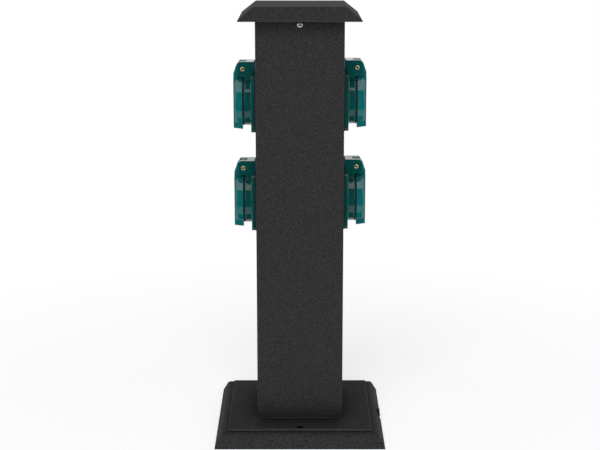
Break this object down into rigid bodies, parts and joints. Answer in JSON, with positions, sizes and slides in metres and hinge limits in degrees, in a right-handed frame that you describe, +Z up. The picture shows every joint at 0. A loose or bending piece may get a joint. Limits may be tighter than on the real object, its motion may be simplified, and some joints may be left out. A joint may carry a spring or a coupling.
{
  "type": "garden socket post",
  "caption": "Square outdoor post on a stepped foot with a hipped cap and round hinged-lid sockets on its two sides.",
  "frame": {"origin": "on the floor, in the middle of the foot", "axes": "+Z up the column, -Y the front with the visible cap screw, +X the side with the cable outlet"},
  "size_m": [0.1576, 0.1576, 0.4016],
  "materials": {
    "coated_metal": "fine-textured powder coat, near-black grey",
    "cap_plastic": "fine-textured, near-black grey",
    "foot_plastic": "fine-textured, near-black grey",
    "green_plastic": "smooth glossy moulding, dark teal green",
    "lid_plastic": "smooth glossy moulding, a lighter teal green",
    "black_plastic": "satin moulding",
    "black_rubber": "matt soft rubber",
    "block_plastic": "cream moulding",
    "brown_insulation": "smooth wire insulation",
    "blue_insulation": "smooth wire insulation",
    "green_insulation": "smooth wire insulation, green and yellow",
    "steel": "zinc-plated",
    "plated_steel": "zinc-plated sheet",
    "spring_steel": "drawn spring wire",
    "brass": "plain brass"
  },
  "bodies": {
    "post": {"foot": "foot_plastic", "bottom_plate": "plated_steel", "bottom_plate_screws": "steel", "column": "coated_metal", "column_screws": "steel", "top_cap": "cap_plastic", "cap_screws": "steel", "cable_grommet": "black_rubber", "terminal_block": "block_plastic", "block_screws": "steel", "live_wires": "brown_insulation", "neutral_wires": "blue_insulation", "earth_wires": "green_insulation", "upper_left_housing": "green_plastic", "upper_left_gasket": "black_rubber", "upper_left_insert": "black_plastic", "upper_left_pin_contacts": "brass", "upper_left_earth_strap": "brass", "upper_left_terminal_screws": "steel", "upper_left_flange_screws": "steel", "upper_left_hinge_pin": "brass", "upper_left_lid_spring": "spring_steel", "lower_left_housing": "green_plastic", "lower_left_gasket": "black_rubber", "lower_left_insert": "black_plastic", "lower_left_pin_contacts": "brass", "lower_left_earth_strap": "brass", "lower_left_terminal_screws": "steel", "lower_left_flange_screws": "steel", "lower_left_hinge_pin": "brass", "lower_left_lid_spring": "spring_steel", "upper_right_housing": "green_plastic", "upper_right_gasket": "black_rubber", "upper_right_insert": "black_plastic", "upper_right_pin_contacts": "brass", "upper_right_earth_strap": "brass", "upper_right_terminal_screws": "steel", "upper_right_flange_screws": "steel", "upper_right_hinge_pin": "brass", "upper_right_lid_spring": "spring_steel", "lower_right_housing": "green_plastic", "lower_right_gasket": "black_rubber", "lower_right_insert": "black_plastic", "lower_right_pin_contacts": "brass", "lower_right_earth_strap": "brass", "lower_right_terminal_screws": "steel", "lower_right_flange_screws": "steel", "lower_right_hinge_pin": "brass", "lower_right_lid_spring": "spring_steel"},
    "upper_left_flap": {"upper_left_lid": "lid_plastic", "upper_left_lid_seal": "black_rubber"},
    "lower_left_flap": {"lower_left_lid": "lid_plastic", "lower_left_lid_seal": "black_rubber"},
    "upper_right_flap": {"upper_right_lid": "lid_plastic", "upper_right_lid_seal": "black_rubber"},
    "lower_right_flap": {"lower_right_lid": "lid_plastic", "lower_right_lid_seal": "black_rubber"}
  },
  "joints": [
    {"name": "upper_left_lid_hinge", "type": "hinge", "parent": "post", "child": "upper_left_flap", "pos_m": [-0.0523, 0, 0.3429], "axis": [0, 1, 0], "range_deg": [0, 110], "stiffness_Nm_per_rad": 0.01, "springref_deg": -57.3, "deforming": ["upper_left_lid_spring"]},
    {"name": "lower_left_lid_hinge", "type": "hinge", "parent": "post", "child": "lower_left_flap", "pos_m": [-0.0523, 0, 0.2509], "axis": [0, 1, 0], "range_deg": [0, 110], "stiffness_Nm_per_rad": 0.01, "springref_deg": -57.3, "deforming": ["lower_left_lid_spring"]},
    {"name": "upper_right_lid_hinge", "type": "hinge", "parent": "post", "child": "upper_right_flap", "pos_m": [0.0523, 0, 0.3444], "axis": [0, -1, 0], "range_deg": [0, 110], "stiffness_Nm_per_rad": 0.01, "springref_deg": -57.3, "deforming": ["upper_right_lid_spring"]},
    {"name": "lower_right_lid_hinge", "type": "hinge", "parent": "post", "child": "lower_right_flap", "pos_m": [0.0523, 0, 0.2524], "axis": [0, -1, 0], "range_deg": [0, 110], "stiffness_Nm_per_rad": 0.01, "springref_deg": -57.3, "deforming": ["lower_right_lid_spring"]}
  ]
}
